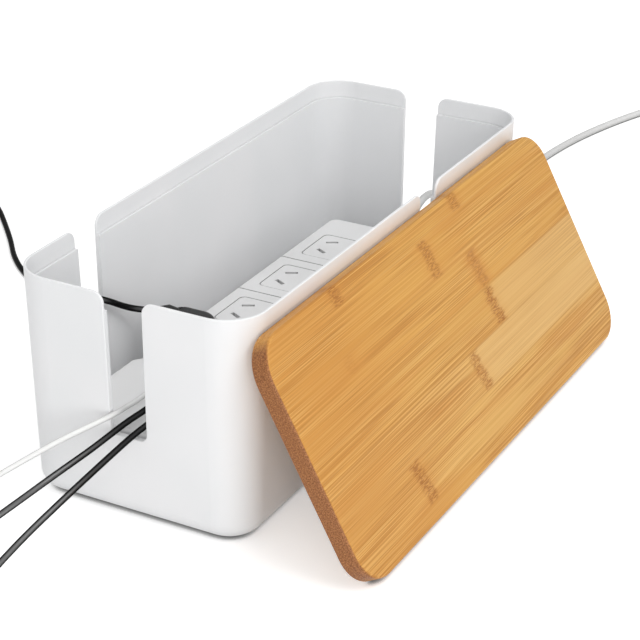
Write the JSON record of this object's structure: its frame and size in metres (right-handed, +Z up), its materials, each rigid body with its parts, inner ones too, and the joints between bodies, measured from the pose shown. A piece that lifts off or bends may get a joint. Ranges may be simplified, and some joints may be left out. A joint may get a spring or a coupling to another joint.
{
  "type": "cable management box",
  "caption": "Long cord box with open-topped cord slots, a rebated rim for its bamboo lid, and a power strip with plugs and leads inside; the lid leans on the front wall",
  "frame": {"origin": "middle of the box on the surface it stands on", "axes": "X along the box from the end with the USB leads to the end with the strip's own lead, Y from the front wall with the lid to the back wall, Z up"},
  "size_m": [0.9004, 0.5406, 0.12],
  "materials": {
    "box_white": "satin moulded plastic",
    "bamboo": "oiled bamboo",
    "rubber_grey": "matte",
    "strip_white": "semi-gloss",
    "brass": "pressed",
    "board_green": "lacquered board",
    "bright_metal": "nickel plated",
    "port_black": "matte",
    "cord_white": "soft satin",
    "cord_black": "soft satin"
  },
  "bodies": {
    "box": {"bus_bar_active": "brass", "bus_bar_earth": "brass", "bus_bar_neutral": "brass", "cord_a": "cord_white", "cord_a_coil": "cord_white", "cord_b": "cord_black", "cord_b_coil": "cord_black", "cord_c": "cord_black", "cord_c_coil": "cord_black", "cord_d": "cord_black", "cord_d_coil": "cord_black", "cord_e": "cord_white", "cord_e_coil": "cord_white", "end_plug_a_body": "cord_white", "end_plug_a_tip": "bright_metal", "end_plug_b_body": "cord_black", "end_plug_b_tip": "bright_metal", "end_plug_c_body": "cord_black", "end_plug_c_tip": "bright_metal", "end_plug_d": "cord_black", "lead_gland": "strip_white", "mains_plug_body": "cord_white", "mains_plug_pins": "bright_metal", "outlet_face_1": "strip_white", "outlet_face_2": "strip_white", "outlet_face_3": "strip_white", "outlet_face_4": "strip_white", "shell": "box_white", "shell_feet": "rubber_grey", "strip_base": "strip_white", "strip_cover": "strip_white", "strip_feet": "rubber_grey", "strip_screws": "bright_metal", "usb_board": "board_green", "usb_shells": "bright_metal", "usb_tongues": "port_black"},
    "lid": {"lid": "bamboo"},
    "plug": {"plug_body": "cord_black", "plug_pins": "bright_metal"},
    "usb_plug_a": {"usb_plug_a_body": "cord_white", "usb_plug_a_tip": "bright_metal"},
    "usb_plug_b": {"usb_plug_b_body": "cord_black", "usb_plug_b_tip": "bright_metal"},
    "usb_plug_c": {"usb_plug_c_body": "cord_black", "usb_plug_c_tip": "bright_metal"}
  },
  "joints": [
    {"name": "lid_lift", "type": "slide", "parent": "box", "child": "lid", "axis": [0, 0, 1], "range_m": [0, 0.3]},
    {"name": "plug_pull", "type": "slide", "parent": "box", "child": "plug", "axis": [0, 0, 1], "range_m": [0, 0.02]},
    {"name": "usb_a_pull", "type": "slide", "parent": "box", "child": "usb_plug_a", "axis": [0, 0, 1], "range_m": [0, 0.012]},
    {"name": "usb_b_pull", "type": "slide", "parent": "box", "child": "usb_plug_b", "axis": [0, 0, 1], "range_m": [0, 0.012]},
    {"name": "usb_c_pull", "type": "slide", "parent": "box", "child": "usb_plug_c", "axis": [0, 0, 1], "range_m": [0, 0.012]}
  ]
}
